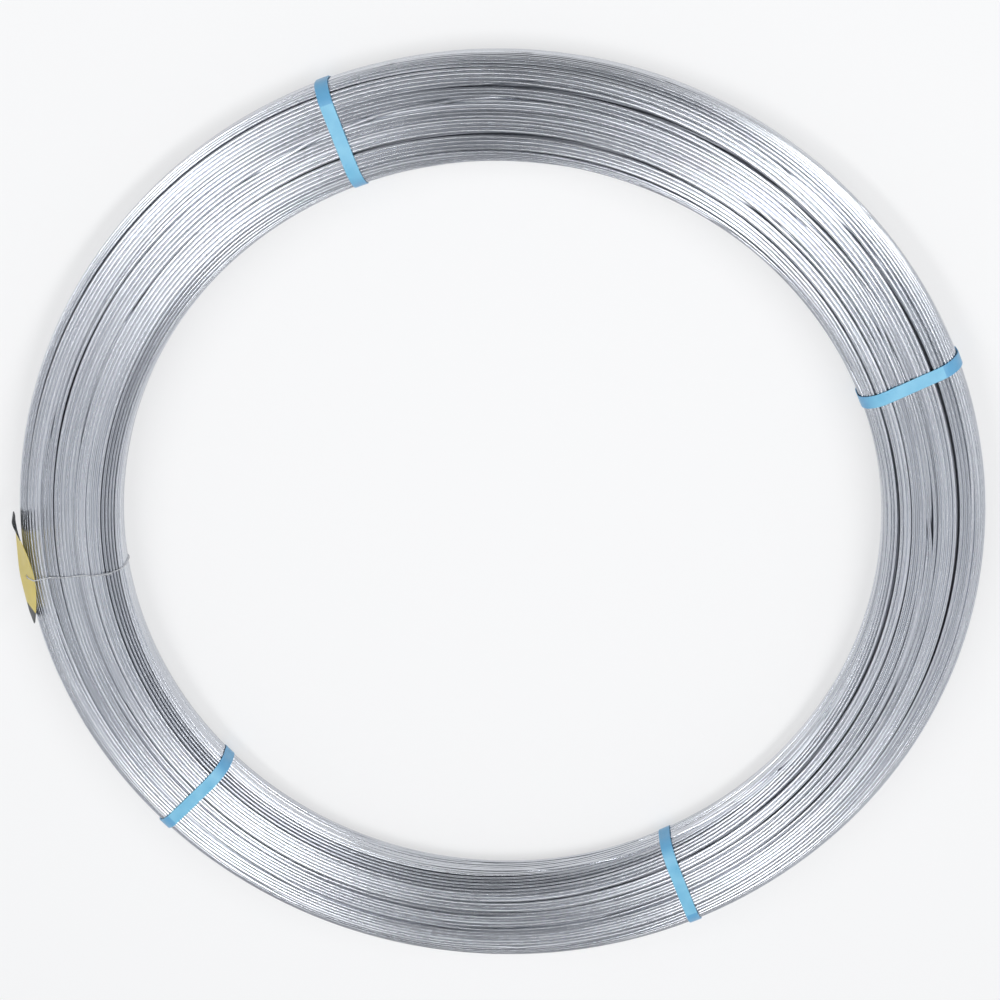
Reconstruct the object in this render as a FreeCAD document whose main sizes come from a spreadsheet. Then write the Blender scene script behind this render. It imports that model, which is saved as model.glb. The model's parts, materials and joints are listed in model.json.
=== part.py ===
import FreeCAD, Part
import math
import os
import Sketcher

# A coil of oval galvanised steel wire, lying flat. Its axis is +Z and its lowest point is at z = 0.
doc = FreeCAD.newDocument("oval_wire_coil")

# Driving sizes, in millimetres and degrees.
sizes = {
    "bore_radius": 300.0,        # inside of the winding
    "coil_build": 80.0,          # winding, measured radially
    "coil_height": 50.0,         # winding, measured along its axis
    "shoulder_radius": 20.0,     # rounding of the winding's four corners
    "wire_width": 3.0,           # the oval wire's long side
    "valley_width": 1.4,         # the groove between two neighbouring turns
    "valley_depth": 0.7,
    "strap_width": 10.0,         # flat plastic strapping
    "strap_thickness": 0.6,
    "strap_a_azimuth": 27.9,     # where each strap goes round the winding
    "strap_b_azimuth": 114.2,
    "strap_c_azimuth": 226.1,
    "strap_d_azimuth": 300.9,
    "strap_a_skew": 2.6,         # how far each strap is turned from straight across
    "strap_b_skew": 0.3,
    "strap_c_skew": 4.5,
    "strap_d_skew": -5.7,
    "tie_diameter": 1.0,         # thin tie wire round the winding
    "tie_azimuth": 188.9,
    "tie_bend_radius": 6.0,      # its bends on the inner shoulder
    "tie_kink_radius": 3.0,      # its sharp bends at the tag
    "tie_leave_angle": 12.0,     # how far below the tag it leaves the outer shoulder
    "tie_shoulder_angle": 70.0,  # where it touches the inner shoulder, from the top
    "twist_inset": 5.0,          # the twist, measured in from where the flat top ends
    "twist_length": 7.8,
    "twist_tilt": 14.0,
    "wrap_clearance": 0.1,       # between the winding and what is wrapped on it
    "tag_length": 90.0,          # plastic tag held by the tie wire
    "tag_width": 24.0,
    "tag_thickness": 0.6,
    "tag_corner_radius": 2.5,
    "tag_hole_diameter": 4.0,
    "tag_hole_offset": 8.5,      # from the tag's middle, along its length
    "tag_standoff": 1.4,         # from the outer shoulder to the back of the tag
    "tag_lean": 42.0,            # from upright, its upper edge towards the coil
    "tag_toe": 1.5,              # its long end stands further off the coil than the other
    "tag_droop": 5.0,            # its long end hangs lower than the other
    "tie_exit_slope": 30.0,      # how steeply the tie wire passes through the hole
}

sheet = doc.addObject("Spreadsheet::Sheet", "Sizes")
for row, (name, value) in enumerate(sizes.items(), start=1):
    sheet.set("A%d" % row, name)
    sheet.set("B%d" % row, str(value))
    sheet.setAlias("B%d" % row, name)
doc.recompute()


def size(name):
    return float(sheet.get(name))


# Everything wrapped under the winding lifts it off the floor, and the tie wire is the thickest.
lift = "Sizes.tie_diameter + Sizes.wrap_clearance"


# The number that an expression on the sheet gives.
def value(text):
    names = {"Sizes." + name: size(name) for name in sizes}
    for name in sorted(names, key=len, reverse=True):
        text = text.replace(name, "(%r)" % names[name])
    return float(FreeCAD.Units.Quantity(text).Value)


def originPlane(body, role):
    return next(f for f in body.Origin.OriginFeatures if f.Role == role)


def newBody(label):
    body = doc.addObject("PartDesign::Body", label)
    body.Label = label
    return body


def newSketch(body, name, role):
    sketch = body.newObject("Sketcher::SketchObject", name)
    sketch.AttachmentSupport = [(originPlane(body, role), "")]
    sketch.MapMode = "FlatFace"
    return sketch


# Draws a rounded rectangle whose place and sizes are expressions on the sheet.
def roundedRectangle(sketch, left, bottom, width, height, radius):
    x0, y0, w, h, r = (value(text) for text in (left, bottom, width, height, radius))
    x1, y1 = x0 + w, y0 + h
    z = FreeCAD.Vector(0, 0, 1)
    first = sketch.GeometryCount
    lines = [((x0 + r, y0), (x1 - r, y0)), ((x1, y0 + r), (x1, y1 - r)),
             ((x1 - r, y1), (x0 + r, y1)), ((x0, y1 - r), (x0, y0 + r))]
    corners = [(x1 - r, y0 + r, -90), (x1 - r, y1 - r, 0), (x0 + r, y1 - r, 90), (x0 + r, y0 + r, 180)]
    for (a, b), (cx, cy, start) in zip(lines, corners):
        sketch.addGeometry(Part.LineSegment(FreeCAD.Vector(*a, 0), FreeCAD.Vector(*b, 0)), False)
        circle = Part.Circle(FreeCAD.Vector(cx, cy, 0), z, r)
        arc = Part.ArcOfCircle(circle, math.radians(start), math.radians(start + 90))
        sketch.addGeometry(arc, False)
    for side in range(4):
        line, arc, following = first + 2 * side, first + 2 * side + 1, first + (2 * side + 2) % 8
        sketch.addConstraint(Sketcher.Constraint("Tangent", line, 2, arc, 1))
        sketch.addConstraint(Sketcher.Constraint("Tangent", arc, 2, following, 1))
        sketch.addConstraint(Sketcher.Constraint("Vertical" if side % 2 else "Horizontal", line))
        if side:
            sketch.addConstraint(Sketcher.Constraint("Equal", first + 1, arc))
    bound = [
        (Sketcher.Constraint("DistanceX", -1, 1, first + 6, 1, x0), left),
        (Sketcher.Constraint("DistanceY", -1, 1, first, 1, y0), bottom),
        (Sketcher.Constraint("DistanceX", first + 6, 1, first + 2, 1, w), width),
        (Sketcher.Constraint("DistanceY", first, 1, first + 4, 1, h), height),
        (Sketcher.Constraint("Radius", first + 1, r), radius),
    ]
    for constraint, text in bound:
        index = sketch.addConstraint(constraint)
        sketch.setExpression("Constraints[%d]" % index, text)


# The winding's cross section, grown outwards by gap, in the body's XZ plane.
def windingOutline(body, name, gap):
    sketch = newSketch(body, name, "XZ_Plane")
    addWindingOutline(sketch, gap)
    return sketch


def addWindingOutline(sketch, gap):
    roundedRectangle(sketch,
                     "Sizes.bore_radius - (%s)" % gap,
                     "%s - (%s)" % (lift, gap),
                     "Sizes.coil_build + 2 * (%s)" % gap,
                     "Sizes.coil_height + 2 * (%s)" % gap,
                     "Sizes.shoulder_radius + %s" % gap)


# Places spaced evenly round the cross section, each with its outward direction.
def outlinePoints(pitch):
    r = size("shoulder_radius")
    flatAcross = size("coil_build") - 2 * r
    flatUp = size("coil_height") - 2 * r
    corner = math.pi / 2 * r
    x0, y0 = size("bore_radius"), value(lift)
    x1, y1 = x0 + size("coil_build"), y0 + size("coil_height")
    stretches = [  # length, start, direction, and the centre and first angle of the corner after it
        (flatAcross, (x0 + r, y0), (1, 0), (x1 - r, y0 + r), -90),
        (flatUp, (x1, y0 + r), (0, 1), (x1 - r, y1 - r), 0),
        (flatAcross, (x1 - r, y1), (-1, 0), (x0 + r, y1 - r), 90),
        (flatUp, (x0, y1 - r), (0, -1), (x0 + r, y0 + r), 180),
    ]
    perimeter = 2 * (flatAcross + flatUp) + 4 * corner
    count = round(perimeter / pitch)
    places = []
    for i in range(count):
        along = (i + 0.5) * perimeter / count
        for length, start, (dx, dy), (cx, cy), firstAngle in stretches:
            if along < length:
                places.append((start[0] + dx * along, start[1] + dy * along, dy, -dx))
                break
            along -= length
            if along < corner:
                a = math.radians(firstAngle) + along / r
                places.append((cx + r * math.cos(a), cy + r * math.sin(a), math.cos(a), math.sin(a)))
                break
            along -= corner
    return places


# The winding is turned in one piece, and a groove is turned between each two turns of wire.
coil = newBody("wire_coil")
coilSection = windingOutline(coil, "winding_section", "0")
winding = coil.newObject("PartDesign::Revolution", "winding")
winding.Profile = coilSection
winding.ReferenceAxis = (coilSection, ["V_Axis"])
winding.Angle = 360
doc.recompute()
plainVolume = winding.Shape.Volume

valleys = newSketch(coil, "valley_sections", "XZ_Plane")
overshoot = 0.2
for x, y, nx, ny in outlinePoints(size("wire_width")):
    depth, half = size("valley_depth"), size("valley_width") / 2
    reach = half * (depth + overshoot) / depth
    tip = FreeCAD.Vector(x - nx * depth, y - ny * depth, 0)
    left = FreeCAD.Vector(x + nx * overshoot - ny * reach, y + ny * overshoot + nx * reach, 0)
    right = FreeCAD.Vector(x + nx * overshoot + ny * reach, y + ny * overshoot - nx * reach, 0)
    for a, b in ((tip, left), (left, right), (right, tip)):
        valleys.addGeometry(Part.LineSegment(a, b), False)
turns = coil.newObject("PartDesign::Groove", "turn_valleys")
turns.Profile = valleys
turns.ReferenceAxis = (valleys, ["V_Axis"])
turns.Angle = 360
doc.recompute()
if not turns.Shape.Volume < plainVolume:
    raise RuntimeError("the valleys cut nothing")


# Each strap is a thin shell round the cross section, trimmed to the strap's width. The shell is
# swept far enough for the widest skew.
shellAngle = math.degrees(4 * size("strap_width") / size("bore_radius")) + 4


def makeStrap(label, azimuth, skew):
    body = newBody(label)
    section = windingOutline(body, label + "_section", "Sizes.wrap_clearance + Sizes.strap_thickness")
    addWindingOutline(section, "Sizes.wrap_clearance")
    shell = body.newObject("PartDesign::Revolution", label + "_shell")
    shell.Profile = section
    shell.ReferenceAxis = (section, ["V_Axis"])
    shell.Midplane = True
    shell.Angle = shellAngle
    doc.recompute()
    shellVolume = shell.Shape.Volume

    trim = newSketch(body, label + "_trim", "XY_Plane")
    middle = size("bore_radius") + size("coil_build") / 2
    halfWidth, reach = size("strap_width") / 2, size("coil_build")
    turn = math.radians(size(skew))
    along = FreeCAD.Vector(math.cos(turn), math.sin(turn), 0)
    across = FreeCAD.Vector(-math.sin(turn), math.cos(turn), 0)
    centre = FreeCAD.Vector(middle, 0, 0)
    for side in (1, -1):
        inner, outer = side * halfWidth, side * reach
        corners = [centre + along * u + across * v
                   for u, v in ((-reach, inner), (reach, inner), (reach, outer), (-reach, outer))]
        for a, b in zip(corners, corners[1:] + corners[:1]):
            trim.addGeometry(Part.LineSegment(a, b), False)
    strip = body.newObject("PartDesign::Pocket", label + "_strip")
    strip.Profile = trim
    strip.Type = 1
    strip.Midplane = True
    doc.recompute()
    if not strip.Shape.Volume < shellVolume:
        raise RuntimeError(label + " was not trimmed")
    body.setExpression("Placement.Rotation.Angle", "Sizes." + azimuth)
    return body


straps = [makeStrap("strap_1", "strap_a_azimuth", "strap_a_skew"),
          makeStrap("strap_2", "strap_b_azimuth", "strap_b_skew"),
          makeStrap("strap_3", "strap_c_azimuth", "strap_c_skew"),
          makeStrap("strap_4", "strap_d_azimuth", "strap_d_skew")]


# Lines in the upright plane that holds the tie wire are a point (radius, height) and a direction.
# This one touches a circle where the circle's outward direction is at angle, going anticlockwise.
def tangentLine(centre, radius, angle):
    a = math.radians(angle)
    return ((centre[0] + radius * math.cos(a), centre[1] + radius * math.sin(a)),
            (-math.sin(a), math.cos(a)))


def crossing(first, second):
    (ax, ay), (ux, uy) = first
    (bx, by), (vx, vy) = second
    step = ((bx - ax) * vy - (by - ay) * vx) / (ux * vy - uy * vx)
    return (ax + ux * step, ay + uy * step)


# A path of straight runs with a tangent arc at each inner point, in the XZ plane.
def bentPath(points, radii):
    def vector(p):
        return FreeCAD.Vector(p[0], 0, p[1])
    edges, start = [], vector(points[0])
    for before, here, after, radius in zip(points, points[1:], points[2:], radii):
        corner = vector(here)
        back = (vector(before) - corner).normalize()
        ahead = (vector(after) - corner).normalize()
        half = back.getAngle(ahead) / 2
        cut = radius / math.tan(half)
        entry, leave = corner + back * cut, corner + ahead * cut
        middle = corner + (back + ahead).normalize() * (radius / math.sin(half) - radius)
        edges.append(Part.LineSegment(start, entry).toShape())
        edges.append(Part.Arc(entry, middle, leave).toShape())
        start = leave
    edges.append(Part.LineSegment(start, vector(points[-1])).toShape())
    return Part.Wire(edges)


shoulder = size("shoulder_radius")
boreRadius, outerRadius = size("bore_radius"), size("bore_radius") + size("coil_build")
base, top = value(lift), value(lift) + size("coil_height")
wrap = size("wrap_clearance") + size("tie_diameter") / 2
innerTop = (boreRadius + shoulder, top - shoulder)
outerTop = (outerRadius - shoulder, top - shoulder)

# The tag's own directions in that plane: out through its face, and up along its width.
lean = math.radians(size("tag_lean"))
faceOut = (math.cos(lean), math.sin(lean))
faceUp = (-math.sin(lean), math.cos(lean))


# A point measured from where the tag lies against the outer shoulder.
def fromShoulder(out, up):
    return (outerTop[0] + (shoulder + out) * faceOut[0] + up * faceUp[0],
            outerTop[1] + (shoulder + out) * faceOut[1] + up * faceUp[1])


tagBack = size("tag_standoff")
tagFront = tagBack + size("tag_thickness")
tagMiddle = (tagBack + tagFront) / 2
slope = math.radians(size("tie_exit_slope"))
throughHole = (fromShoulder(tagMiddle, 0),
               (math.sin(slope) * faceOut[0] + math.cos(slope) * faceUp[0],
                math.sin(slope) * faceOut[1] + math.cos(slope) * faceUp[1]))
behindTag = tangentLine(outerTop, shoulder + wrap, size("tag_lean") - size("tie_leave_angle"))
overTag = (fromShoulder(tagFront + wrap, 0), faceUp)
overEdge = fromShoulder(tagFront + wrap, size("tag_width") / 2 + wrap)
topLine = ((outerTop[0], top + wrap), (-1, 0))
boreLine = ((boreRadius - wrap, top), (0, -1))
outerLine = ((outerRadius + wrap, base), (0, 1))
bottomLine = ((boreRadius, base - wrap), (1, 0))

# The twist lies on the inner shoulder, in line with the loop, whose two ends go into it.
twistRadius = size("tie_diameter")
twistLine = tangentLine(innerTop, shoulder + size("wrap_clearance") + twistRadius, 90 + size("twist_tilt"))
twistMiddle = crossing(twistLine, ((boreRadius + shoulder - size("twist_inset") - size("twist_length") / 2,
                                    top), (0, 1)))
twistDirection = twistLine[1]


def alongTwist(step):
    return (twistMiddle[0] + twistDirection[0] * step, twistMiddle[1] + twistDirection[1] * step)


insideTwist = size("twist_length") / 2 - 1.0
innerShoulder = tangentLine(innerTop, shoulder + wrap, 90 + size("tie_shoulder_angle"))
points = [
    alongTwist(insideTwist),
    crossing(twistLine, innerShoulder),
    crossing(innerShoulder, boreLine),
    crossing(boreLine, bottomLine),
    crossing(bottomLine, outerLine),
    crossing(outerLine, behindTag),
    crossing(behindTag, throughHole),
    crossing(throughHole, overTag),
    overEdge,
    (outerTop[0], top + wrap),
    crossing(topLine, twistLine),
    alongTwist(-insideTwist),
]
kink, bend, round_ = size("tie_kink_radius"), size("tie_bend_radius"), shoulder + wrap
radii = [bend, bend, round_, round_, round_, kink, kink, size("tie_diameter"), 2 * kink, kink]

tiePath = doc.addObject("Part::Feature", "tie_path")
tiePath.Shape = bentPath(points, radii)
tieSection = Part.Wire(Part.makeCircle(
    size("tie_diameter") / 2, FreeCAD.Vector(points[0][0], 0, points[0][1]),
    FreeCAD.Vector(twistDirection[0], 0, twistDirection[1])))
tieLoop = doc.addObject("Part::Feature", "tie_loop")
tieLoop.Shape = tiePath.Shape.makePipeShell([tieSection], True, False)
tieTwist = doc.addObject("Part::Cylinder", "tie_twist")
tieTwist.setExpression("Radius", "Sizes.tie_diameter")
tieTwist.setExpression("Height", "Sizes.twist_length")
twistStart = alongTwist(-size("twist_length") / 2)
tieTwist.Placement = FreeCAD.Placement(
    FreeCAD.Vector(twistStart[0], 0, twistStart[1]),
    FreeCAD.Rotation(FreeCAD.Vector(0, 0, 1), FreeCAD.Vector(twistDirection[0], 0, twistDirection[1])))
tieWire = doc.addObject("Part::Fuse", "tie_wire")
tieWire.Label = "tie_wire"
tieWire.Base = tieLoop
tieWire.Tool = tieTwist
tieWire.setExpression("Placement.Rotation.Angle", "Sizes.tie_azimuth")

# The tag is a flat plate with a hole, which is the origin of its sketch.
tag = newBody("tag")
plate = newSketch(tag, "tag_outline", "XY_Plane")
roundedRectangle(plate, "Sizes.tag_hole_offset - Sizes.tag_length / 2", "-Sizes.tag_width / 2",
                 "Sizes.tag_length", "Sizes.tag_width", "Sizes.tag_corner_radius")


def addHole(sketch):
    circle = Part.Circle(FreeCAD.Vector(0, 0, 0), FreeCAD.Vector(0, 0, 1), size("tag_hole_diameter") / 2)
    hole = sketch.addGeometry(circle, False)
    sketch.addConstraint(Sketcher.Constraint("Coincident", hole, 3, -1, 1))
    index = sketch.addConstraint(Sketcher.Constraint("Diameter", hole, size("tag_hole_diameter")))
    sketch.setExpression("Constraints[%d]" % index, "Sizes.tag_hole_diameter")


addHole(plate)
tagPlate = tag.newObject("PartDesign::Pad", "tag_plate")
tagPlate.Profile = plate
tagPlate.setExpression("Length", "Sizes.tag_thickness")

# Its length lies along the coil, its width leans on the shoulder and its face looks outwards.
atHole = fromShoulder(tagBack, 0)
upright = FreeCAD.Rotation(FreeCAD.Vector(0, -1, 0), FreeCAD.Vector(faceUp[0], 0, faceUp[1]),
                           FreeCAD.Vector(faceOut[0], 0, faceOut[1]), "ZXY")
toe = FreeCAD.Rotation(FreeCAD.Vector(0, 1, 0), -size("tag_toe"))
droop = FreeCAD.Rotation(FreeCAD.Vector(0, 0, 1), -size("tag_droop"))
onCoil = FreeCAD.Placement(FreeCAD.Vector(atHole[0], 0, atHole[1]), upright.multiply(toe).multiply(droop))
roundAxis = FreeCAD.Placement(FreeCAD.Vector(), FreeCAD.Rotation(FreeCAD.Vector(0, 0, 1), size("tie_azimuth")))
tag.Placement = roundAxis.multiply(onCoil)

doc.recompute()

parts = [coil] + straps + [tieWire, tag]
failed = [o.Name for o in doc.Objects if "Invalid" in o.State or "Error" in o.State]
if failed:
    raise RuntimeError("failed objects: " + ", ".join(failed))
for piece in parts:
    if piece.Shape.isNull() or not piece.Shape.isValid():
        raise RuntimeError("bad shape: " + piece.Label)

os.makedirs("parts", exist_ok=True)
for piece in parts:
    piece.Shape.exportStep("parts/" + piece.Label + ".step")
    box = piece.Shape.BoundBox
    print("%-10s solids %d  volume %.0f  x %.2f..%.2f  y %.2f..%.2f  z %.2f..%.2f" % (
        piece.Label, len(piece.Shape.Solids), piece.Shape.Volume,
        box.XMin, box.XMax, box.YMin, box.YMax, box.ZMin, box.ZMax))
for edge in tiePath.Shape.Edges:
    a, b = edge.Vertexes[0].Point, edge.Vertexes[-1].Point
    print("   %-8s %.2f mm  (%.2f, %.2f) to (%.2f, %.2f)" % (
        edge.Curve.TypeId[-12:], edge.Length, a.x, a.z, b.x, b.z))
print("tie loop: volume %.1f, section times length %.1f" % (
    tieLoop.Shape.Volume, tiePath.Shape.Length * math.pi * size("tie_diameter") ** 2 / 4))
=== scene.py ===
import json
import math

import bpy
import bmesh
import numpy as np
from mathutils import Matrix, Vector


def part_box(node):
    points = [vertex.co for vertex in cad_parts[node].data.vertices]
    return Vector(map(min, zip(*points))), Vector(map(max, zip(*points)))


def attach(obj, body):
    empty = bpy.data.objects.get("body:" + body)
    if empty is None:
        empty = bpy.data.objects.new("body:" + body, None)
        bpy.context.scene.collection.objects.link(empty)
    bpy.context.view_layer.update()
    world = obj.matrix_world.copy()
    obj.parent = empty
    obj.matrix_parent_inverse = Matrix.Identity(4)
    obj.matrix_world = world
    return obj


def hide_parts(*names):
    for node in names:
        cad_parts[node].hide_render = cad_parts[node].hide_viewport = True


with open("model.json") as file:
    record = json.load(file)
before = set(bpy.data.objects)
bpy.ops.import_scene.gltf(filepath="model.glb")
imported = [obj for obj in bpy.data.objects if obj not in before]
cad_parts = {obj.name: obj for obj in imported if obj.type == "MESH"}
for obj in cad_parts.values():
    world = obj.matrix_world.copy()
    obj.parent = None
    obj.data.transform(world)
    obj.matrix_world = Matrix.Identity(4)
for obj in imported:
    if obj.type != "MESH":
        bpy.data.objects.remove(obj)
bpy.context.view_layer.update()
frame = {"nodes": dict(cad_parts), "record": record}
print("frame loaded")

# The winding's own box gives every size here; all lengths are in metres.
coilLow, coilHigh = (Vector(c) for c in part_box("wire_coil"))
boreMount = next(m for m in frame["record"]["mounts"] if m["name"] == "bore")

winding = {
    "outerRadius": (coilHigh.x - coilLow.x) / 2,
    "boreRadius": boreMount["dims"]["r_mm"] / 1000,
    "bottom": coilLow.z,
    "top": coilHigh.z,
    "shoulder": 0.020,
}
winding["height"] = winding["top"] - winding["bottom"]
winding["build"] = winding["outerRadius"] - winding["boreRadius"]


# Points on the winding's rounded cross section, as radius, height and outward direction.
def outlineAt(along, inset):
    r = winding["shoulder"]
    across, up = winding["build"] - 2 * r, winding["height"] - 2 * r
    corner = math.pi / 2 * r
    x0, z0 = winding["boreRadius"], winding["bottom"]
    x1, z1 = winding["outerRadius"], winding["top"]
    perimeter = 2 * (across + up) + 4 * corner
    s = np.mod(along, perimeter)
    # the walk starts in the middle of the top and goes outwards, down, inwards and up
    runs = [across / 2, corner, up, corner, across, corner, up, corner, across / 2]
    ends = np.cumsum(runs)
    x = np.zeros_like(s)
    z = np.zeros_like(s)
    nx = np.zeros_like(s)
    nz = np.zeros_like(s)
    middle = (x0 + x1) / 2
    flats = {0: ((middle, z1), (1, 0), (0, 1)), 2: ((x1, z1 - r), (0, -1), (1, 0)),
             4: ((x1 - r, z0), (-1, 0), (0, -1)), 6: ((x0, z0 + r), (0, 1), (-1, 0)),
             8: ((x0 + r, z1), (1, 0), (0, 1))}
    corners = {1: ((x1 - r, z1 - r), 90), 3: ((x1 - r, z0 + r), 0),
               5: ((x0 + r, z0 + r), -90), 7: ((x0 + r, z1 - r), 180)}
    for k in range(9):
        start = ends[k] - runs[k]
        here = (s >= start) & (s <= ends[k])
        t = s[here] - start
        if k in flats:
            (px, pz), (dx, dz), (ax, az) = flats[k]
            x[here], z[here] = px + dx * t, pz + dz * t
            nx[here], nz[here] = ax, az
        else:
            (cx, cz), first = corners[k]
            a = math.radians(first) - t / r
            x[here], z[here] = cx + r * np.cos(a), cz + r * np.sin(a)
            nx[here], nz[here] = np.cos(a), np.sin(a)
    return x - nx * inset, z - nz * inset, nx, nz, perimeter


# A smooth closed wave round the coil, about size high.
def slowWave(rng, angles, size, harmonics=(1, 2, 3, 4), fall=0.8):
    wave = np.zeros_like(angles)
    for h in harmonics:
        wave += np.sin(h * angles + rng.uniform(0, 2 * math.pi)) * rng.normal() / h ** fall
    return size * wave / 1.4


def makeMesh(name, points, faces):
    mesh = bpy.data.meshes.new(name)
    mesh.from_pydata([tuple(p) for p in points], [], faces)
    mesh.update()
    piece = bpy.data.objects.new(name, mesh)
    bpy.context.scene.collection.objects.link(piece)
    return piece


def shadeSmooth(piece):
    piece.data.polygons.foreach_set("use_smooth", [True] * len(piece.data.polygons))


def fixNormals(piece):
    bm = bmesh.new()
    bm.from_mesh(piece.data)
    bmesh.ops.remove_doubles(bm, verts=bm.verts, dist=1e-6)
    bmesh.ops.recalc_face_normals(bm, faces=bm.faces)
    bm.to_mesh(piece.data)
    bm.free()


def newGroup(name, inputs, outputs):
    group = bpy.data.node_groups.new(name, "ShaderNodeTree")
    for label, kind, default in inputs:
        socket = group.interface.new_socket(label, in_out="INPUT", socket_type=kind)
        socket.default_value = default
    for label, kind in outputs:
        group.interface.new_socket(label, in_out="OUTPUT", socket_type=kind)
    start, end = group.nodes.new("NodeGroupInput"), group.nodes.new("NodeGroupOutput")
    return group, start, end


def link(tree, a, b):
    tree.links.new(a, b)


def mathNode(tree, operation, a, b=None, c=None):
    node = tree.nodes.new("ShaderNodeMath")
    node.operation = operation
    for i, value in enumerate((a, b, c)):
        if value is None:
            continue
        if isinstance(value, (int, float)):
            node.inputs[i].default_value = value
        else:
            tree.links.new(value, node.inputs[i])
    return node.outputs[0]


def noiseNode(tree, vector, scale, detail=3.0, roughness=0.55, fourth=None):
    node = tree.nodes.new("ShaderNodeTexNoise")
    if fourth is not None:
        node.noise_dimensions = "4D"
        tree.links.new(fourth, node.inputs["W"])
    node.inputs["Detail"].default_value = detail
    node.inputs["Roughness"].default_value = roughness
    if isinstance(scale, (int, float)):
        node.inputs["Scale"].default_value = scale
    else:
        tree.links.new(scale, node.inputs["Scale"])
    tree.links.new(vector, node.inputs["Vector"])
    return node.outputs["Fac"]


def rangeNode(tree, value, fromMin, fromMax, toMin, toMax):
    node = tree.nodes.new("ShaderNodeMapRange")
    node.clamp = True
    tree.links.new(value, node.inputs["Value"])
    for label, v in (("From Min", fromMin), ("From Max", fromMax), ("To Min", toMin), ("To Max", toMax)):
        if isinstance(v, (int, float)):
            node.inputs[label].default_value = v
        else:
            tree.links.new(v, node.inputs[label])
    return node.outputs["Result"]


def mixColour(tree, factor, a, b, blend="MIX"):
    node = tree.nodes.new("ShaderNodeMix")
    node.data_type = "RGBA"
    node.blend_type = blend
    sockets = [s for s in node.inputs if s.type == "RGBA"]
    for socket, value in ((node.inputs["Factor"], factor), (sockets[0], a), (sockets[1], b)):
        if isinstance(value, (int, float)):
            socket.default_value = value
        elif isinstance(value, (tuple, list)):
            socket.default_value = value
        else:
            tree.links.new(value, socket)
    return next(s for s in node.outputs if s.type == "RGBA")


# Coordinates that run along the wires: a point on a fixed circle, then radius and height.
def buildAlongCoil():
    group, start, end = newGroup("alongCoil", [("Vector", "NodeSocketVector", (0, 0, 0))],
                                 [("Along", "NodeSocketVector"), ("Height", "NodeSocketFloat")])
    split = group.nodes.new("ShaderNodeSeparateXYZ")
    link(group, start.outputs["Vector"], split.inputs[0])
    squares = mathNode(group, "ADD", mathNode(group, "MULTIPLY", split.outputs["X"], split.outputs["X"]),
                       mathNode(group, "MULTIPLY", split.outputs["Y"], split.outputs["Y"]))
    radius = mathNode(group, "SQRT", squares)
    join = group.nodes.new("ShaderNodeCombineXYZ")
    for axis in ("X", "Y"):
        onCircle = mathNode(group, "DIVIDE", split.outputs[axis], mathNode(group, "MAXIMUM", radius, 0.001))
        link(group, mathNode(group, "MULTIPLY", onCircle, 0.34), join.inputs[axis])
    link(group, radius, join.inputs["Z"])
    link(group, join.outputs[0], end.inputs["Along"])
    link(group, split.outputs["Z"], end.inputs["Height"])
    return group


# Galvanised zinc: patches of grey, drawing lines along the wire and small dull spots.
def buildZinc():
    group, start, end = newGroup(
        "zincCoat",
        [("Vector", "NodeSocketVector", (0, 0, 0)), ("Tint", "NodeSocketFloat", 0.5),
         ("Light", "NodeSocketColor", (0.5, 0.5, 0.5, 1)), ("Dark", "NodeSocketColor", (0.2, 0.2, 0.2, 1)),
         ("Roughness", "NodeSocketFloat", 0.35)],
        [("Colour", "NodeSocketColor"), ("Roughness", "NodeSocketFloat"), ("Height", "NodeSocketFloat")])
    along = group.nodes.new("ShaderNodeGroup")
    along.node_tree = alongCoil
    link(group, start.outputs["Vector"], along.inputs["Vector"])
    stretch = group.nodes.new("ShaderNodeVectorMath")
    stretch.operation = "MULTIPLY"
    stretch.inputs[1].default_value = (0.02, 0.02, 1)
    link(group, along.outputs["Along"], stretch.inputs[0])
    patches = noiseNode(group, start.outputs["Vector"], 9.0, 2.0)
    streaks = noiseNode(group, stretch.outputs[0], 700.0, 2.0, 0.5, along.outputs["Height"])
    specks = noiseNode(group, start.outputs["Vector"], 1400.0, 2.0, 0.5)
    mottle = noiseNode(group, stretch.outputs[0], 240.0, 3.0, 0.6, along.outputs["Height"])
    shade = mathNode(group, "ADD", mathNode(group, "MULTIPLY", patches, 0.30),
                     mathNode(group, "MULTIPLY", streaks, 0.30))
    shade = mathNode(group, "ADD", shade, mathNode(group, "MULTIPLY", mottle, 0.25))
    shade = mathNode(group, "ADD", shade, mathNode(group, "MULTIPLY", start.outputs["Tint"], 0.30))
    factor = rangeNode(group, shade, 0.38, 0.78, 0.0, 1.0)
    link(group, mixColour(group, factor, start.outputs["Dark"], start.outputs["Light"]), end.inputs["Colour"])
    rough = mathNode(group, "ADD", start.outputs["Roughness"],
                     rangeNode(group, mottle, 0.3, 0.7, -0.05, 0.09))
    link(group, rough, end.inputs["Roughness"])
    height = mathNode(group, "ADD", mathNode(group, "MULTIPLY", streaks, 0.5),
                      mathNode(group, "MULTIPLY", specks, 0.06))
    link(group, height, end.inputs["Height"])
    return group


alongCoil = buildAlongCoil()
zincCoat = buildZinc()


def newMaterial(name):
    material = bpy.data.materials.new(name)
    material.use_nodes = True
    tree = material.node_tree
    shader = tree.nodes["Principled BSDF"]
    coordinates = tree.nodes.new("ShaderNodeTexCoord")
    return material, tree, shader, coordinates.outputs["Object"]


def addBump(tree, shader, height, strength, distance):
    bump = tree.nodes.new("ShaderNodeBump")
    bump.inputs["Strength"].default_value = strength
    bump.inputs["Distance"].default_value = distance
    tree.links.new(height, bump.inputs["Height"])
    tree.links.new(bump.outputs["Normal"], shader.inputs["Normal"])


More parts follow.
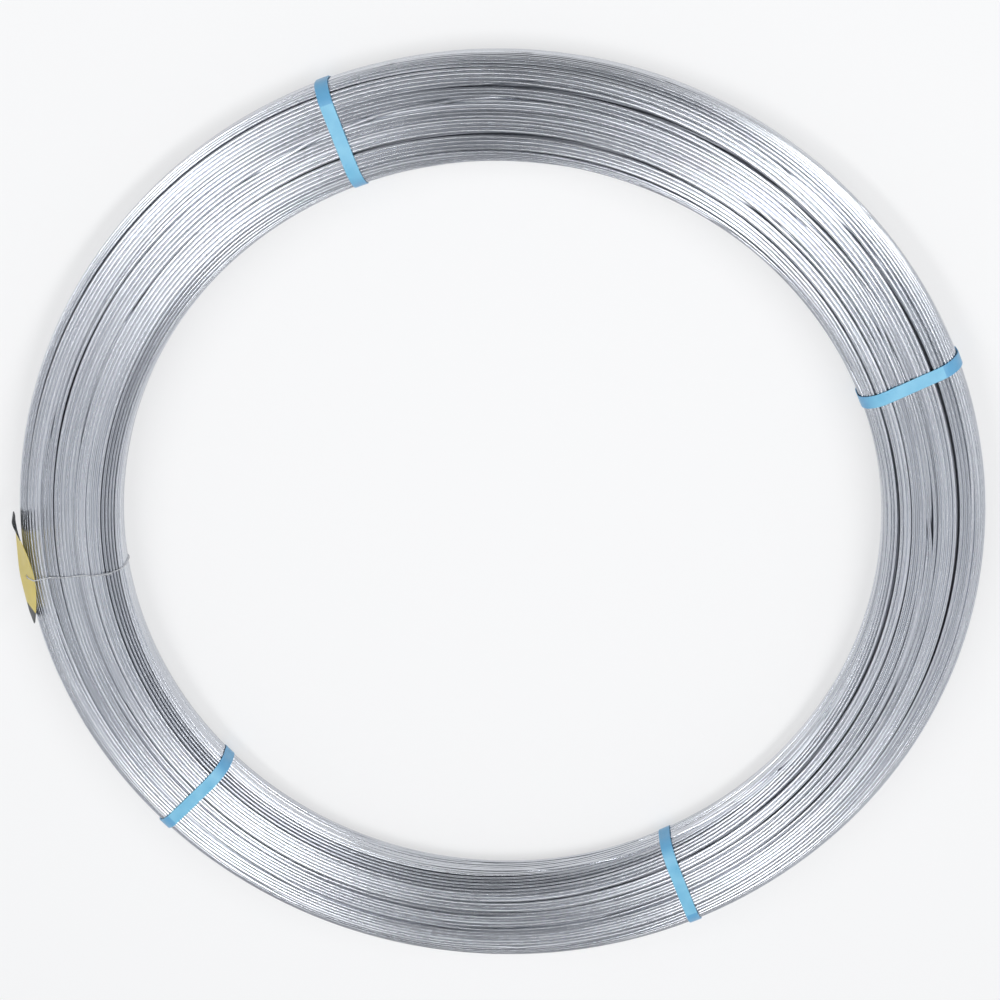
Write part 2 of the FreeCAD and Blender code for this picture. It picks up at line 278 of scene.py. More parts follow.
def zincMaterial(name, light, dark, roughness, metallic, byTurn):
    material, tree, shader, vector = newMaterial(name)
    zinc = tree.nodes.new("ShaderNodeGroup")
    zinc.node_tree = zincCoat
    zinc.inputs["Light"].default_value = (*light, 1)
    zinc.inputs["Dark"].default_value = (*dark, 1)
    zinc.inputs["Roughness"].default_value = roughness
    tree.links.new(vector, zinc.inputs["Vector"])
    if byTurn:
        turn = tree.nodes.new("ShaderNodeAttribute")
        turn.attribute_name = "turnTint"
        tree.links.new(turn.outputs["Fac"], zinc.inputs["Tint"])
    tree.links.new(zinc.outputs["Colour"], shader.inputs["Base Color"])
    tree.links.new(zinc.outputs["Roughness"], shader.inputs["Roughness"])
    shader.inputs["Metallic"].default_value = metallic
    addBump(tree, shader, zinc.outputs["Height"], 0.12, 0.0002)
    return material


wireZinc = zincMaterial("wireZinc", (0.76, 0.78, 0.82), (0.52, 0.54, 0.58), 0.24, 1.0, True)
# painted shade: a darker copy of the wire zinc for the turns under the surface, standing in for the shade in
# the gaps between the outer turns
paintedShadeUnderZinc = zincMaterial("paintedShadeUnderZinc", (0.34, 0.355, 0.39), (0.20, 0.21, 0.24), 0.45, 1.0, True)
# painted shade: a near-black zinc for the shell in the middle of the winding, standing in for the deep shade
# between turns
paintedShadeCoreZinc = zincMaterial("paintedShadeCoreZinc", (0.16, 0.17, 0.20), (0.07, 0.08, 0.10), 0.5, 0.6, False)
tieZinc = zincMaterial("tieZinc", (0.70, 0.71, 0.73), (0.48, 0.49, 0.51), 0.38, 0.6, False)
print("zinc materials made")


turns = {
    "wireWidth": 0.0032,          # the oval's long side
    "wireThickness": 0.0024,
    "surfaceTurns": 68,           # turns that show
    "secondTurns": 66,            # turns just under them
    "crossingTurns": 12,          # turns that run over the others at a slant
    "segments": 192,
    "profileSides": 8,
    "spacing": 0.00275,           # between the middles of two turns that touch
    "gapsAround": 19,             # dark lines between the bundles
    "gapWidth": 0.0022,
    "seed": 17,
}


def layTurns():
    rng = np.random.default_rng(turns["seed"])
    count = turns["segments"]
    angles = np.linspace(0, 2 * math.pi, count, endpoint=False)
    perimeter = outlineAt(np.zeros(1), 0)[4]
    half = (turns["wireWidth"] + turns["wireThickness"]) / 4 + 0.00005

    # gaps open and close round the coil, and push the turns between them to and fro
    n = turns["surfaceTurns"]
    widths = np.ones((n, count))
    evenly = np.linspace(0, n, turns["gapsAround"], endpoint=False)
    gapAfter = np.round(evenly + rng.uniform(-0.9, 0.9, turns["gapsAround"])).astype(int) % n
    bundle = np.cumsum(np.isin(np.arange(n), gapAfter)) % turns["gapsAround"]
    for g in gapAfter:
        opening = np.clip(slowWave(rng, angles, 0.7, (1, 2, 3, 4)) + rng.uniform(0.35, 1.05), 0, 1.7)
        widths[g] += opening * turns["gapWidth"] / turns["spacing"]
    widths += 0.06 * np.array([slowWave(rng, angles, 1.0, (2, 3, 5, 7)) for _ in range(n)])
    ends = np.cumsum(widths, axis=0)
    surface = ends / ends[-1] * perimeter + slowWave(rng, angles, 0.007, (1, 2))
    sunk = np.array([slowWave(rng, angles, 0.0009, (1, 2, 3)) + rng.normal(0, 0.0004)
                     for _ in range(turns["gapsAround"])])
    depth = half + np.clip(sunk[bundle] + rng.normal(0, 0.00006, (n, 1)), 0, 0.0018)

    m = turns["secondTurns"]
    second = (np.arange(m)[:, None] + 0.5) / m * perimeter \
        + np.array([slowWave(rng, angles, 0.0012) for _ in range(m)])
    secondDepth = half + 0.0030 + np.array([slowWave(rng, angles, 0.0003) for _ in range(m)])

    c = turns["crossingTurns"]
    crossing = rng.uniform(0, perimeter, (c, 1)) \
        + np.array([slowWave(rng, angles, rng.uniform(0.004, 0.011), (1, 2, 3), 1.0) for _ in range(c)])
    crossingDepth = half + np.clip(0.0006 + np.array(
        [slowWave(rng, angles, 0.0014, (1, 2, 3)) for _ in range(c)]), 0, 0.0035)

    along = np.concatenate([surface, second, crossing])
    inset = np.concatenate([depth, secondDepth, crossingDepth])
    x, z, _, _, _ = outlineAt(along, inset)
    place = np.stack([x, z], axis=-1)
    home = place.copy()
    layer = np.array([0] * n + [1] * m + [2] * c)

    # turns that overlap push each other apart, while the section's outline holds them in
    pairs = []
    for i in range(len(place)):
        near = np.min(np.linalg.norm(place[i + 1:] - place[i], axis=-1), axis=1) < 0.0075
        pairs += [(i, i + 1 + j) for j in np.nonzero(near)[0]]
    first, other = np.array(pairs).T
    heavy = np.array([1.0, 1.6, 0.35])[layer]
    shareFirst = (heavy[first] / (heavy[first] + heavy[other]))[:, None, None]
    for step in range(90):
        apart = place[first] - place[other]
        distance = np.linalg.norm(apart, axis=-1, keepdims=True)
        push = np.clip(turns["spacing"] - distance, 0, None) * apart / np.maximum(distance, 1e-6) * 0.5
        move = np.zeros_like(place)
        np.add.at(move, first, push * (1 - shareFirst))
        np.add.at(move, other, -push * shareFirst)
        place = place + move + (home - place) * 0.02
        place = place * 0.7 + (np.roll(place, 1, 1) + np.roll(place, -1, 1)) * 0.15
        place = keepInside(place, half)
    return angles, place, layer, bundle, rng


# Pull each place back inside the rounded section, inset from its outline.
def keepInside(place, inset):
    r = winding["shoulder"]
    lowX, highX = winding["boreRadius"] + r, winding["outerRadius"] - r
    lowZ, highZ = winding["bottom"] + r, winding["top"] - r
    coreX = np.clip(place[..., 0], lowX, highX)
    coreZ = np.clip(place[..., 1], lowZ, highZ)
    offX, offZ = place[..., 0] - coreX, place[..., 1] - coreZ
    distance = np.maximum(np.hypot(offX, offZ), 1e-9)
    shrink = np.minimum(1, (r - inset) / distance)
    return np.stack([coreX + offX * shrink, coreZ + offZ * shrink], axis=-1)


# Geometry Nodes: an oval profile carried along each closed path, turned by the path's own tilt.
def sweepTree():
    tree = bpy.data.node_groups.new("ovalWireSweep", "GeometryNodeTree")
    tree.interface.new_socket("Geometry", in_out="INPUT", socket_type="NodeSocketGeometry")
    for name, kind, default in (("Wire Width", "NodeSocketFloat", 0.003),
                                ("Wire Thickness", "NodeSocketFloat", 0.0024),
                                ("Profile Sides", "NodeSocketInt", 8),
                                ("Finish", "NodeSocketMaterial", None)):
        socket = tree.interface.new_socket(name, in_out="INPUT", socket_type=kind)
        if default is not None:
            socket.default_value = default
    tree.interface.new_socket("Geometry", in_out="OUTPUT", socket_type="NodeSocketGeometry")
    start, end = tree.nodes.new("NodeGroupInput"), tree.nodes.new("NodeGroupOutput")
    toCurve = tree.nodes.new("GeometryNodeMeshToCurve")
    normal = tree.nodes.new("GeometryNodeSetCurveNormal")
    tiltValue = tree.nodes.new("GeometryNodeInputNamedAttribute")
    tiltValue.data_type = "FLOAT"
    tiltValue.inputs["Name"].default_value = "turnTilt"
    tilt = tree.nodes.new("GeometryNodeSetCurveTilt")
    circle = tree.nodes.new("GeometryNodeCurvePrimitiveCircle")
    circle.mode = "RADIUS"
    circle.inputs["Radius"].default_value = 0.5
    scale = tree.nodes.new("ShaderNodeCombineXYZ")
    scale.inputs["Z"].default_value = 1.0
    squash = tree.nodes.new("GeometryNodeTransform")
    sweep = tree.nodes.new("GeometryNodeCurveToMesh")
    smooth = tree.nodes.new("GeometryNodeSetShadeSmooth")
    realize = tree.nodes.new("GeometryNodeRealizeInstances")
    finish = tree.nodes.new("GeometryNodeSetMaterial")
    sweep.inputs["Fill Caps"].default_value = True
    links = tree.links
    links.new(start.outputs["Geometry"], toCurve.inputs[0])
    links.new(toCurve.outputs[0], normal.inputs["Curve"])
    links.new(normal.outputs[0], tilt.inputs["Curve"])
    links.new(next(o for o in tiltValue.outputs if o.enabled and o.name == "Attribute"), tilt.inputs["Tilt"])
    links.new(start.outputs["Profile Sides"], circle.inputs["Resolution"])
    links.new(circle.outputs["Curve"], squash.inputs["Geometry"])
    links.new(start.outputs["Wire Width"], scale.inputs["X"])
    links.new(start.outputs["Wire Thickness"], scale.inputs["Y"])
    links.new(scale.outputs[0], squash.inputs["Scale"])
    links.new(tilt.outputs[0], sweep.inputs["Curve"])
    links.new(squash.outputs[0], sweep.inputs["Profile Curve"])
    links.new(sweep.outputs[0], smooth.inputs[0])
    links.new(smooth.outputs[0], realize.inputs[0])
    links.new(realize.outputs[0], finish.inputs["Geometry"])
    links.new(start.outputs["Finish"], finish.inputs["Material"])
    links.new(finish.outputs[0], end.inputs[0])
    return tree


# Run a node tree on a piece and keep its result as the piece's own plain mesh.
def runNodes(piece, tree, values):
    modifier = piece.modifiers.new("nodes", "NODES")
    modifier.node_group = tree
    for item in tree.interface.items_tree:
        if item.item_type == "SOCKET" and item.in_out == "INPUT" and item.name in values:
            modifier[item.identifier] = values[item.name]
    depsgraph = bpy.context.evaluated_depsgraph_get()
    mesh = bpy.data.meshes.new_from_object(piece.evaluated_get(depsgraph), depsgraph=depsgraph)
    piece.modifiers.remove(modifier)
    old = piece.data
    piece.data = mesh
    bpy.data.meshes.remove(old)
    mesh.name = piece.name


def turnPiece(name, angles, places, tilts, tints, tree, material):
    count = len(angles)
    points, edges = [], []
    for turn in places:
        base = len(points)
        for a, (radius, height) in zip(angles, turn):
            points.append((radius * math.cos(a), radius * math.sin(a), height))
        edges += [(base + k, base + (k + 1) % count) for k in range(count)]
    mesh = bpy.data.meshes.new(name)
    mesh.from_pydata(points, edges, [])
    mesh.attributes.new("turnTilt", "FLOAT", "POINT").data.foreach_set("value", np.ravel(tilts))
    mesh.attributes.new("turnTint", "FLOAT", "POINT").data.foreach_set("value", np.ravel(tints))
    piece = bpy.data.objects.new(name, mesh)
    bpy.context.scene.collection.objects.link(piece)
    runNodes(piece, tree, {"Wire Width": turns["wireWidth"], "Wire Thickness": turns["wireThickness"],
                           "Profile Sides": turns["profileSides"], "Finish": material})
    return piece


def makeTurns():
    angles, place, layer, bundle, rng = layTurns()
    tree = sweepTree()
    r = winding["shoulder"]
    coreX = np.clip(place[..., 0], winding["boreRadius"] + r, winding["outerRadius"] - r)
    coreZ = np.clip(place[..., 1], winding["bottom"] + r, winding["top"] - r)
    faceOut = np.unwrap(np.arctan2(place[..., 1] - coreZ, place[..., 0] - coreX), axis=1)
    lean = np.array([rng.normal(0, 0.06) + slowWave(rng, angles, 0.06) for _ in place])
    tilts = (faceOut + math.pi / 2) + lean
    tint = rng.normal(0.5, 0.07, len(place))
    tint[:len(bundle)] += rng.normal(0, 0.32, turns["gapsAround"])[bundle]
    tints = np.clip(tint[:, None] + np.zeros(len(angles)), 0, 1)
    outer, inner = np.nonzero(layer != 1)[0], np.nonzero(layer == 1)[0]
    parts = [(members, wireZinc) for members in np.array_split(outer, 2)]
    # the second layer takes the darker zinc, painted shade seen through the gaps between the outer turns
    parts += [(members, paintedShadeUnderZinc) for members in np.array_split(inner, 2)]
    pieces = []
    for i, (members, material) in enumerate(parts):
        piece = turnPiece("wireTurns%d" % (i + 1), angles, place[members], tilts[members],
                          tints[members], tree, material)
        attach(piece, "root")
        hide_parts("wire_coil")
        pieces.append(piece)
        print(piece.name, "triangles", sum(len(p.vertices) - 2 for p in piece.data.polygons))
    return pieces


# The middle of the winding, a shell whose near-black colour is painted shade, seen only as darkness between the
# outer turns.
def makeInnerTurns():
    sides, around = 60, 160
    perimeter = outlineAt(np.zeros(1), 0)[4]
    s = np.linspace(0, perimeter, sides, endpoint=False)
    x, z, _, _, _ = outlineAt(s, 0.0052)
    points, faces = [], []
    for k in range(around):
        a = 2 * math.pi * k / around
        points += [(px * math.cos(a), px * math.sin(a), pz) for px, pz in zip(x, z)]
    for k in range(around):
        for j in range(sides):
            a, b = k * sides + j, k * sides + (j + 1) % sides
            c, d = ((k + 1) % around) * sides + (j + 1) % sides, ((k + 1) % around) * sides + j
            faces.append((a, b, c, d))
    piece = makeMesh("innerTurns", points, faces)
    fixNormals(piece)
    shadeSmooth(piece)
    piece.data.materials.append(paintedShadeCoreZinc)
    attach(piece, "root")
    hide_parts("wire_coil")
    return piece


makeTurns()
makeInnerTurns()
print("turns of wire made")


straps = {
    "width": 0.010,
    "thickness": 0.0006,
    "gap": 0.0001,          # between the winding and the strap
    "lap": 0.033,           # the welded overlap, on the outer side
    "lapStart": 0.028,      # where the strip starts, walked from the middle of the top
    "edge": 0.0002,
    "skews": {"strap_1": 2.6, "strap_2": 0.3, "strap_3": 4.5, "strap_4": -5.7},
}


# Strapping film: a pressed pattern of small lozenges and a slightly cloudy blue.
def buildEmboss():
    group, start, end = newGroup(
        "strapEmboss", [("Vector", "NodeSocketVector", (0, 0, 0)), ("Pitch", "NodeSocketFloat", 0.0012)],
        [("Height", "NodeSocketFloat"), ("Cloud", "NodeSocketFloat")])
    split = group.nodes.new("ShaderNodeSeparateXYZ")
    link(group, start.outputs["Vector"], split.inputs[0])
    turn = mathNode(group, "DIVIDE", 2 * math.pi, start.outputs["Pitch"])
    slant = mathNode(group, "MULTIPLY", split.outputs["Y"], 0.7)
    plus = mathNode(group, "ADD", split.outputs["X"], slant)
    minus = mathNode(group, "SUBTRACT", split.outputs["X"], slant)
    waves = [mathNode(group, "SINE", mathNode(group, "MULTIPLY", v, turn)) for v in (plus, minus)]
    link(group, mathNode(group, "MULTIPLY", waves[0], waves[1]), end.inputs["Height"])
    link(group, noiseNode(group, start.outputs["Vector"], 60.0, 3.0), end.inputs["Cloud"])
    return group


strapEmboss = buildEmboss()


def strapMaterial():
    material, tree, shader, vector = newMaterial("bluePolypropylene")
    flat = tree.nodes.new("ShaderNodeUVMap")
    flat.uv_map = "strip"
    emboss = tree.nodes.new("ShaderNodeGroup")
    emboss.node_tree = strapEmboss
    tree.links.new(flat.outputs["UV"], emboss.inputs["Vector"])
    colour = mixColour(tree, rangeNode(tree, emboss.outputs["Cloud"], 0.35, 0.65, 0.0, 1.0),
                       (0.15, 0.46, 0.69, 1), (0.22, 0.55, 0.76, 1))
    # painted highlight: the raised lozenges of the embossed pattern are mixed towards a light cyan
    embossHighlightMask = rangeNode(tree, emboss.outputs["Height"], -0.8, 0.8, 0.0, 1.0)
    colour = mixColour(tree, mathNode(tree, "MULTIPLY", embossHighlightMask, 0.35), colour, (0.36, 0.70, 0.86, 1))
    # painted shade: a deeper blue wherever the strap is below the top, over the shoulders, down the sides and
    # under the coil; it is deeper blue too along the welded lap
    height = tree.nodes.new("ShaderNodeSeparateXYZ")
    tree.links.new(vector, height.inputs[0])
    onTop = rangeNode(tree, height.outputs["Z"], winding["top"] - 0.009, winding["top"] - 0.001, 0.0, 1.0)
    lapped = tree.nodes.new("ShaderNodeSeparateXYZ")
    tree.links.new(flat.outputs["UV"], lapped.inputs[0])
    perimeter = outlineAt(np.zeros(1), 0)[4]
    single = rangeNode(tree, lapped.outputs["X"], perimeter - 0.003, perimeter - 0.0025, 1.0, 0.0)
    shade = mathNode(tree, "MULTIPLY", onTop, single)
    # the darker blue mixed in here is the painted shade colour
    colour = mixColour(tree, shade, mixColour(tree, 0.6, colour, (0.07, 0.30, 0.58, 1)), colour)
    tree.links.new(colour, shader.inputs["Base Color"])
    tree.links.new(rangeNode(tree, emboss.outputs["Cloud"], 0.3, 0.7, 0.26, 0.42), shader.inputs["Roughness"])
    shader.inputs["Specular IOR Level"].default_value = 0.6
    shader.inputs["Subsurface Weight"].default_value = 0.0
    addBump(tree, shader, emboss.outputs["Height"], 0.35, 0.0001)
    return material


def makeStrap(node, material):
    low, high = (Vector(c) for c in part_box(node))
    azimuth = math.atan2(low.y + high.y, low.x + high.x)
    skew = math.tan(math.radians(straps["skews"][node]))
    perimeter = outlineAt(np.zeros(1), 0)[4]
    length = perimeter + straps["lap"]
    steps = 220
    walk = np.linspace(0, length, steps)
    lift = np.clip((walk - perimeter + 0.006) / 0.006, 0, 1)
    lift = lift * lift * (3 - 2 * lift) * (straps["thickness"] + 0.00003)
    half, edge, thick = straps["width"] / 2, straps["edge"], straps["thickness"]
    profile = [(-half + edge, 0), (half - edge, 0), (half, edge), (half, thick - edge),
               (half - edge, thick), (half * 0.33, thick), (-half * 0.33, thick), (-half + edge, thick),
               (-half, thick - edge), (-half, edge)]
    middle = (winding["boreRadius"] + winding["outerRadius"]) / 2
    points, stripUV = [], []
    for t, up in zip(walk, lift):
        for side, out in profile:
            x, z, _, _, _ = outlineAt(np.array([straps["lapStart"] + t]), -(straps["gap"] + out + up))
            radius, height = float(x[0]), float(z[0])
            across = (radius - middle) * skew + side
            px = math.sqrt(radius * radius - across * across)
            points.append((px * math.cos(azimuth) - across * math.sin(azimuth),
                           px * math.sin(azimuth) + across * math.cos(azimuth), height))
            stripUV.append((t, side))
    n = len(profile)
    faces = [tuple(range(n - 1, -1, -1)), tuple((steps - 1) * n + j for j in range(n))]
    for k in range(steps - 1):
        faces += [(k * n + j, k * n + (j + 1) % n, (k + 1) * n + (j + 1) % n, (k + 1) * n + j)
                  for j in range(n)]
    piece = makeMesh("blueStrap" + node[-1], points, faces)
    layer = piece.data.uv_layers.new(name="strip")
    for loop in piece.data.loops:
        layer.data[loop.index].uv = stripUV[loop.vertex_index]
    bm = bmesh.new()
    bm.from_mesh(piece.data)
    bmesh.ops.recalc_face_normals(bm, faces=bm.faces)
    bm.to_mesh(piece.data)
    bm.free()
    shadeSmooth(piece)
    piece.data.set_sharp_from_angle(angle=math.radians(35))
    piece.data.materials.append(material)
    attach(piece, "root")
    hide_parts(node)


strapBlue = strapMaterial()
for node in ("strap_1", "strap_2", "strap_3", "strap_4"):
    makeStrap(node, strapBlue)
print("straps made")


tag = {
    "azimuth": 188.9,
    "lean": 42.0,
    "toe": -1.5,
    "droop": -5.0,
    "standoff": 0.0014,
    "length": 0.090,
    "endTurn": 27.0,                # how far its ends are turned more upright than its middle
    "endCurl": 0.0025,
    "hole": 0.0085,                 # from the hole to the tag's middle
    "darkEnds": (0.0095, 0.0165),   # the dark band at the short end and at the long end
}


# The tag's own axes: along the coil, up its width and out of its face, from the hole's back.
def tagFrame():
    a, lean, toe, droop = (math.radians(tag[k]) for k in ("azimuth", "lean", "toe", "droop"))
    r = winding["shoulder"]
    corner = Vector((winding["outerRadius"] - r, 0, winding["top"] - r))
    out = Vector((math.cos(lean), 0, math.sin(lean)))
    up = Vector((-math.sin(lean), 0, math.cos(lean)))
    along = Vector((0, -1, 0))
    spot = corner + out * (r + tag["standoff"])
    turned = Matrix.Rotation(toe, 3, up)
    around = Matrix.Rotation(a, 3, "Z")
    out = turned @ out
    hung = Matrix.Rotation(droop, 3, out) @ turned
    return around @ spot, around @ (hung @ along), around @ (hung @ up), around @ out


def tagMaterial():
    origin, along, up, out = tagFrame()
    material, tree, shader, vector = newMaterial("yellowTagPlastic")
    offset = tree.nodes.new("ShaderNodeVectorMath")
    offset.operation = "SUBTRACT"
    offset.inputs[1].default_value = origin
    tree.links.new(vector, offset.inputs[0])

    def component(axis):
        dot = tree.nodes.new("ShaderNodeVectorMath")
        dot.operation = "DOT_PRODUCT"
        dot.inputs[1].default_value = axis
        tree.links.new(offset.outputs[0], dot.inputs[0])
        return dot.outputs["Value"]

    lengthwise = component(along)
    near, far = (tag["hole"] + side * tag["length"] / 2 for side in (-1, 1))
    near, far, blur = near + tag["darkEnds"][0], far - tag["darkEnds"][1], 0.0002
    ends = mathNode(tree, "MAXIMUM",
                    rangeNode(tree, lengthwise, far - blur, far + blur, 0.0, 1.0),
                    rangeNode(tree, lengthwise, near + blur, near - blur, 0.0, 1.0))
    wear = noiseNode(tree, vector, 90.0, 5.0, 0.65)
    grime = noiseNode(tree, vector, 25.0, 3.0, 0.6)
    yellow = mixColour(tree, rangeNode(tree, grime, 0.35, 0.7, 0.0, 1.0),
                       (0.72, 0.58, 0.15, 1), (0.60, 0.50, 0.17, 1))
    dark = mixColour(tree, rangeNode(tree, wear, 0.55, 0.75, 0.0, 1.0),
                     (0.035, 0.04, 0.04, 1), (0.12, 0.12, 0.11, 1))
    colour = mixColour(tree, ends, yellow, dark)
    tree.links.new(colour, shader.inputs["Base Color"])
    tree.links.new(rangeNode(tree, wear, 0.3, 0.7, 0.38, 0.6), shader.inputs["Roughness"])
    addBump(tree, shader, wear, 0.2, 0.0002)
    return material


# The tie wire holds the tag at its hole, and its two ends curl away from the coil.
def makeTag():
    node = frame["nodes"]["tag"]
    origin, along, up, out = tagFrame()
    bm = bmesh.new()
    bm.from_mesh(node.data)
    bm.transform(node.matrix_world)
    bmesh.ops.remove_doubles(bm, verts=bm.verts, dist=1e-6)
    for place in np.arange(-0.035, 0.053, 0.004):
        bmesh.ops.bisect_plane(bm, geom=bm.verts[:] + bm.edges[:] + bm.faces[:],
                               plane_co=origin + along * float(place), plane_no=along)
    for vert in bm.verts:
        offset = vert.co - origin
        u, v, w = offset.dot(along), offset.dot(up), offset.dot(out)
        reach = abs(u) / (tag["length"] / 2)
        turn = math.radians(tag["endTurn"]) * min(reach ** 1.5, 1.15)
        vert.co = (origin + along * u + out * tag["endCurl"] * reach ** 2
                   + (up * math.cos(turn) + out * math.sin(turn)) * v
                   + (out * math.cos(turn) - up * math.sin(turn)) * w)
    bmesh.ops.recalc_face_normals(bm, faces=bm.faces)
    points = [v.co.copy() for v in bm.verts]
    bm.verts.index_update()
    faces = [[v.index for v in face.verts] for face in bm.faces]
    bm.free()
    piece = makeMesh("yellowTag", points, faces)
    shadeSmooth(piece)
    piece.data.set_sharp_from_angle(angle=math.radians(30))
    piece.data.materials.append(tagMaterial())
    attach(piece, "root")
    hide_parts("tag")
    return piece


makeTag()
print("tag finished")


tie = {
    "azimuth": 188.9,
    "diameter": 0.001,
    "clearance": 0.0001,
    "twistFrom": (0.31445, 0.05147),    # radius and height of the twist's two ends
    "twistTo": (0.30770, 0.04978),
    "twistTurns": 2.6,
    "twistSteps": 40,
    "sides": 8,
    "sectionFrom": 0.905,               # shares of the way round the section, inner shoulder to tag
    "sectionTo": 0.335,
    "sectionSteps": 90,
    "topFrom": 0.3568,                  # radii of the run across the top
    "topTo": 0.3165,
    "topSteps": 16,
    "wander": 0.0004,
    "wanderRate": 260,                  # radians for each metre
    # from the outer wall, behind the tag, out through its hole and over its upper edge
    "atTag": [(0.38060, 0.0311), (0.38035, 0.0350), (0.37935, 0.0385), (0.37784, 0.0414), (0.37678, 0.0432),
              (0.37653, 0.0437), (0.37645, 0.0441), (0.37592, 0.0466), (0.37566, 0.0473), (0.37521, 0.0480),
              (0.37200, 0.0516), (0.36886, 0.0550), (0.36835, 0.0553), (0.36769, 0.0553), (0.36440, 0.0538),
              (0.36120, 0.0523), (0.36000, 0.0519), (0.35867, 0.0517)],
}


def tiePath():
    out = -(tie["clearance"] + tie["diameter"] / 2)
    perimeter = outlineAt(np.zeros(1), 0)[4]
    a, b = Vector(tie["twistFrom"]), Vector(tie["twistTo"])
    axis = (b - a).normalized()
    side = Vector((axis.y, -axis.x))
    steps = tie["twistSteps"]

    def strand(first, forward):
        places = []
        for k in range(steps + 1):
            t = k / steps if forward else 1 - k / steps
            turn = first + 2 * math.pi * tie["twistTurns"] * t
            middle = a.lerp(b, t) + side * math.cos(turn) * tie["diameter"] / 2
            places.append((middle.x, math.sin(turn) * tie["diameter"] / 2, middle.y))
        return places

    # the walk round the section goes from the inner shoulder down, outwards and up the outer wall
    walk = np.linspace(perimeter * tie["sectionFrom"], perimeter * tie["sectionTo"], tie["sectionSteps"])
    x, z, _, _, _ = outlineAt(walk, out)
    aroundSection = [(float(px), 0.0, float(pz)) for px, pz in zip(x, z)]
    over = [(px, 0.0, pz) for px, pz in tie["atTag"]]
    top = [(px, 0.0, winding["top"] - out) for px in np.linspace(tie["topFrom"], tie["topTo"], tie["topSteps"])]
    wander = [(px, tie["wander"] * math.sin(px * tie["wanderRate"]), pz) for px, _, pz in top]
    return strand(math.pi, True) + aroundSection + over + wander + strand(0.0, True)


def makeTie():
    points = tiePath()
    a = math.radians(tie["azimuth"])
    placed = [(x * math.cos(a) - y * math.sin(a), x * math.sin(a) + y * math.cos(a), z) for x, y, z in points]
    mesh = bpy.data.meshes.new("tieWire")
    mesh.from_pydata(placed, [(k, k + 1) for k in range(len(placed) - 1)], [])
    mesh.attributes.new("turnTilt", "FLOAT", "POINT")
    piece = bpy.data.objects.new("tieWire", mesh)
    bpy.context.scene.collection.objects.link(piece)
    runNodes(piece, bpy.data.node_groups["ovalWireSweep"],
             {"Wire Width": tie["diameter"], "Wire Thickness": tie["diameter"],
              "Profile Sides": tie["sides"], "Finish": tieZinc})
    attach(piece, "root")
    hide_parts("tie_wire")
    return piece


makeTie()
print("tie wire made")


stageSizes = {
    "floorSize": 12.0,
    "floorTone": 0.86,
    "lampDistance": 2.6,
    "roomMiddle": 0.15,
    "roomSides": 0.62,
    "leftPower": 21,
    "rightPower": 30,
}


def makeFloor():
    size = stageSizes["floorSize"] / 2
    floor = makeMesh("floor", [(-size, -size, 0), (size, -size, 0), (size, size, 0), (-size, size, 0)],
                     [(0, 1, 2, 3)])
    material = bpy.data.materials.new("floorPaper")
    material.use_nodes = True
    tree = material.node_tree
    shader = tree.nodes["Principled BSDF"]
    tone = stageSizes["floorTone"]
    shader.inputs["Base Color"].default_value = (tone, tone, tone, 1)
    shader.inputs["Roughness"].default_value = 0.9
    shader.inputs["Specular IOR Level"].default_value = 0.1
    glow = tree.nodes.new("ShaderNodeEmission")
    glow.inputs["Color"].default_value = (1, 1, 1, 1)
    glow.inputs["Strength"].default_value = 1.0
    path = tree.nodes.new("ShaderNodeLightPath")
    seen = mathNode(tree, "MAXIMUM", path.outputs["Is Camera Ray"], path.outputs["Is Glossy Ray"])
    seen = mathNode(tree, "MAXIMUM", seen, path.outputs["Is Transmission Ray"])
    mix = tree.nodes.new("ShaderNodeMixShader")
    tree.links.new(mathNode(tree, "MULTIPLY", seen, 0.55), mix.inputs["Fac"])
    tree.links.new(shader.outputs[0], mix.inputs[1])
    tree.links.new(glow.outputs[0], mix.inputs[2])
    tree.links.new(mix.outputs[0], tree.nodes["Material Output"].inputs["Surface"])
    floor.data.materials.append(material)


# A long soft lamp that the wires mirror to the camera where they cross the given azimuth.
def makeStripLamp(name, azimuth, leans, width, power):
    e = math.radians(cameraSizes["elevation"])
    toCamera = Vector((0, math.cos(e), math.sin(e)))
    a = math.radians(azimuth)
    ends = []
    for lean in leans:
        t = math.radians(lean)
        face = Vector((math.cos(a) * math.sin(t), math.sin(a) * math.sin(t), math.cos(t)))
        ends.append((face * 2 * face.dot(toCamera) - toCamera) * stageSizes["lampDistance"])
    middle, along = (ends[0] + ends[1]) / 2, ends[1] - ends[0]
    back = middle.normalized()
    along = (along - back * along.dot(back))
    lamp = bpy.data.lights.new(name, "AREA")
    lamp.shape = "RECTANGLE"
    lamp.size, lamp.size_y = along.length, width
    lamp.energy = power
    x = along.normalized()
    matrix = Matrix((x, back.cross(x), back)).transposed().to_4x4()
    matrix.translation = back * stageSizes["lampDistance"]
    holder = bpy.data.objects.new(name, lamp)
    holder.matrix_world = matrix
    bpy.context.scene.collection.objects.link(holder)


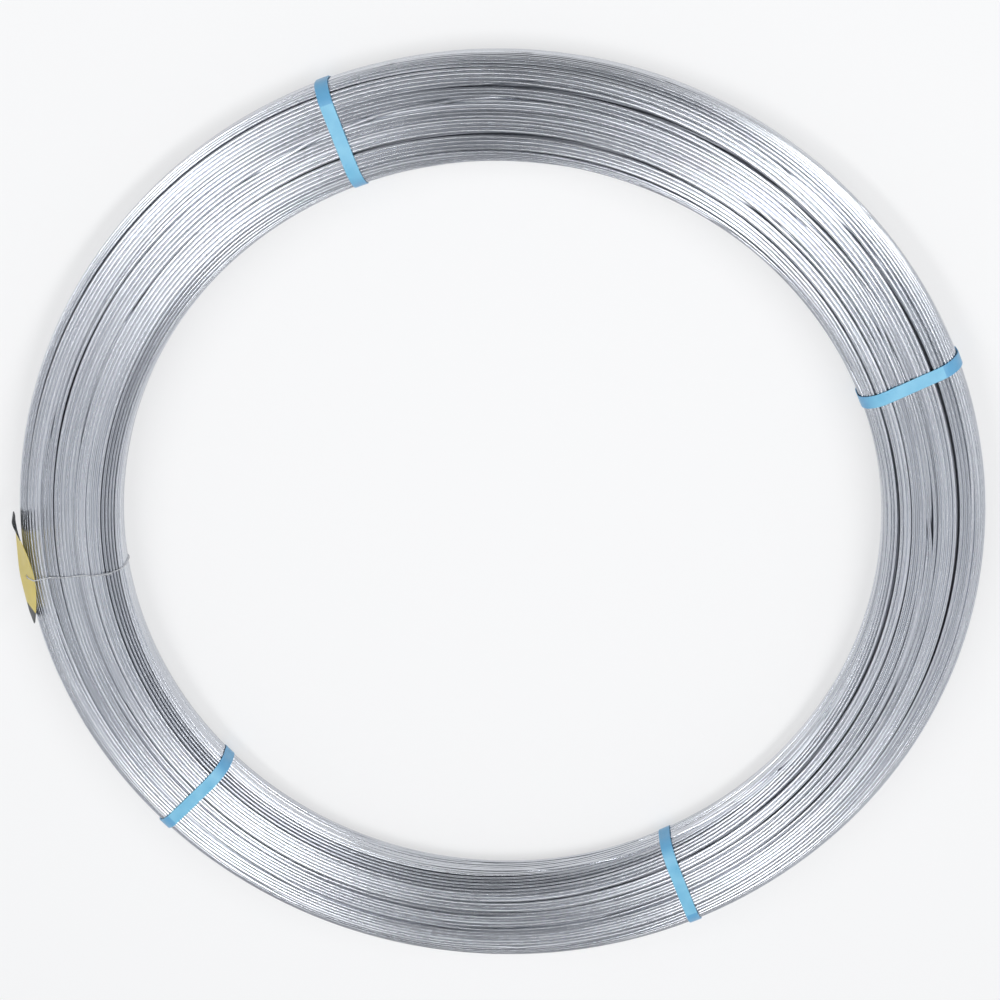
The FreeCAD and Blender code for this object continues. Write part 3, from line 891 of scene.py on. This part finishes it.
def makeWorld():
    # the room is brighter at both sides than straight above
    world = bpy.data.worlds.new("softRoom")
    world.use_nodes = True
    tree = world.node_tree
    background = tree.nodes["Background"]
    direction = tree.nodes.new("ShaderNodeTexCoord")
    split = tree.nodes.new("ShaderNodeSeparateXYZ")
    tree.links.new(direction.outputs["Generated"], split.inputs[0])
    aside = mathNode(tree, "ABSOLUTE", split.outputs["X"])
    level = rangeNode(tree, aside, 0.05, 0.6, stageSizes["roomMiddle"], stageSizes["roomSides"])
    level = mathNode(tree, "MULTIPLY", level, rangeNode(tree, split.outputs["Y"], -1.0, 1.0, 1.3, 0.7))
    path = tree.nodes.new("ShaderNodeLightPath")
    tint = tree.nodes.new("ShaderNodeCombineColor")
    for channel, factor in (("Red", 0.95), ("Green", 0.98), ("Blue", 1.04)):
        shaded = mathNode(tree, "MULTIPLY", level, factor)
        seen = mathNode(tree, "MAXIMUM", shaded, path.outputs["Is Camera Ray"])
        tree.links.new(seen, tint.inputs[channel])
    tree.links.new(tint.outputs[0], background.inputs["Color"])
    background.inputs["Strength"].default_value = 1.0
    bpy.context.scene.world = world


cameraSizes = {
    "elevation": 68.26,     # above the floor, looking from the +Y side
    "roll": -4.62,
    "distance": 1.610,
    "lens": 73.16,
    "shift": (0.0, 0.0375),
}


def makeCamera():
    camera = bpy.data.cameras.new("camera")
    camera.sensor_width = 36
    camera.lens = cameraSizes["lens"]
    camera.shift_x, camera.shift_y = cameraSizes["shift"]
    camera.clip_start, camera.clip_end = 0.05, 50
    holder = bpy.data.objects.new("camera", camera)
    e, roll = math.radians(cameraSizes["elevation"]), math.radians(cameraSizes["roll"])
    back = Vector((0, math.cos(e), math.sin(e)))
    right, up = Vector((1, 0, 0)), Vector((0, math.sin(e), -math.cos(e)))
    turnedRight = right * math.cos(roll) - up * math.sin(roll)
    turnedUp = right * math.sin(roll) + up * math.cos(roll)
    centre = Vector((0, 0, (winding["bottom"] + winding["top"]) / 2))
    matrix = Matrix((turnedRight, turnedUp, back)).transposed().to_4x4()
    matrix.translation = centre + back * cameraSizes["distance"]
    holder.matrix_world = matrix
    bpy.context.scene.collection.objects.link(holder)
    bpy.context.scene.camera = holder


makeFloor()
makeWorld()
makeStripLamp("lampLeft", 131, (6, 34), 0.36, stageSizes["leftPower"])
makeStripLamp("lampRight", 58, (6, 34), 0.42, stageSizes["rightPower"])
makeCamera()
bpy.context.scene.view_settings.view_transform = "Standard"
print("floor, lamps and camera set")
